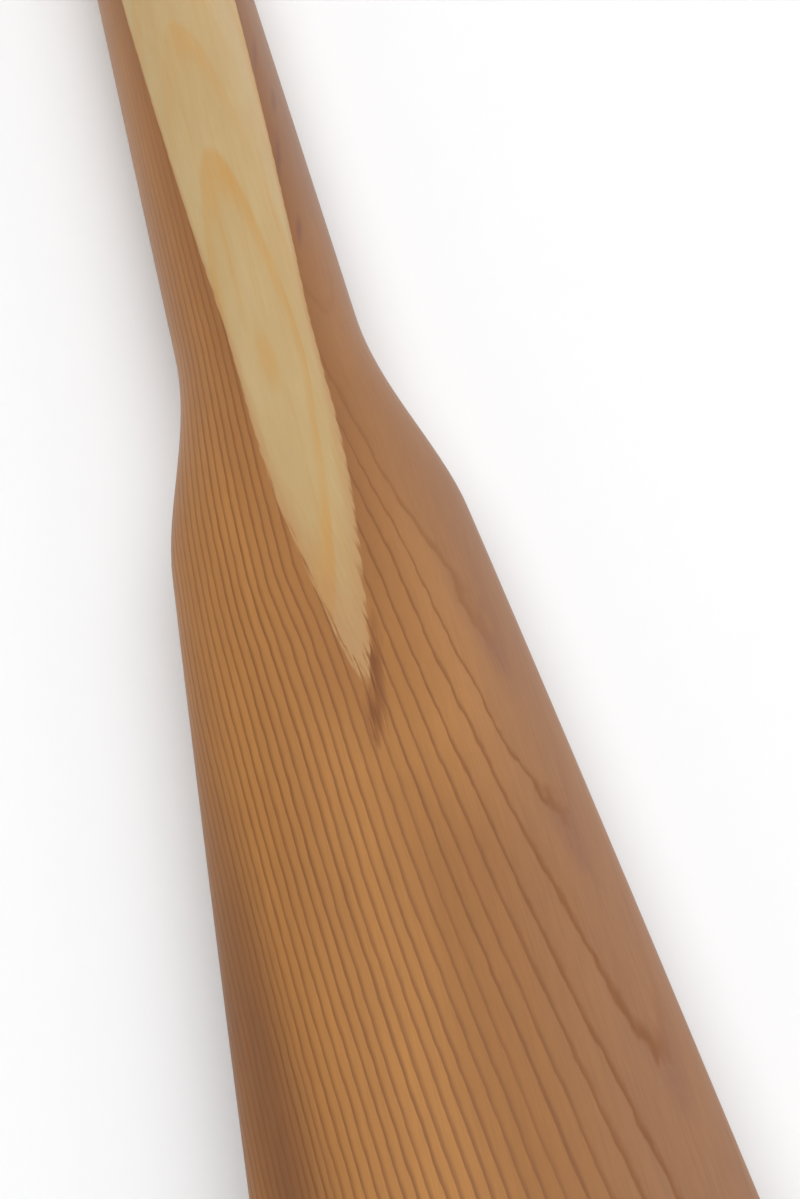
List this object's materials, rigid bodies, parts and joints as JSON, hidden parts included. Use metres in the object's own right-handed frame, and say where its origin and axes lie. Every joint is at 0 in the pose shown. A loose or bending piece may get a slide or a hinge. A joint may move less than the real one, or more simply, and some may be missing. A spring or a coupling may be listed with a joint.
{
  "type": "kayak paddle",
  "caption": "Double-bladed narrow wooden kayak paddle with a laminated oval loom, soft shoulders and long slim blades with hardwood tips.",
  "frame": {"origin": "centre of the whole paddle, at the middle of the loom", "axes": "+X along the paddle towards the right blade, +Y across the blades, +Z out of the front face"},
  "size_m": [2.18, 0.089, 0.0318],
  "materials": {
    "cedar": "oiled red cedar, satin, fine dark growth rings",
    "pine": "oiled pale pine, satin, orange latewood figure",
    "ash": "oiled ash, satin, open brown grain"
  },
  "bodies": {
    "root": {"core_board": "cedar", "front_loom_strip": "pine", "back_loom_strip": "pine", "left_blade_tip": "ash", "right_blade_tip": "ash", "left_tip_spline": "ash", "right_tip_spline": "ash"}
  },
  "joints": []
}
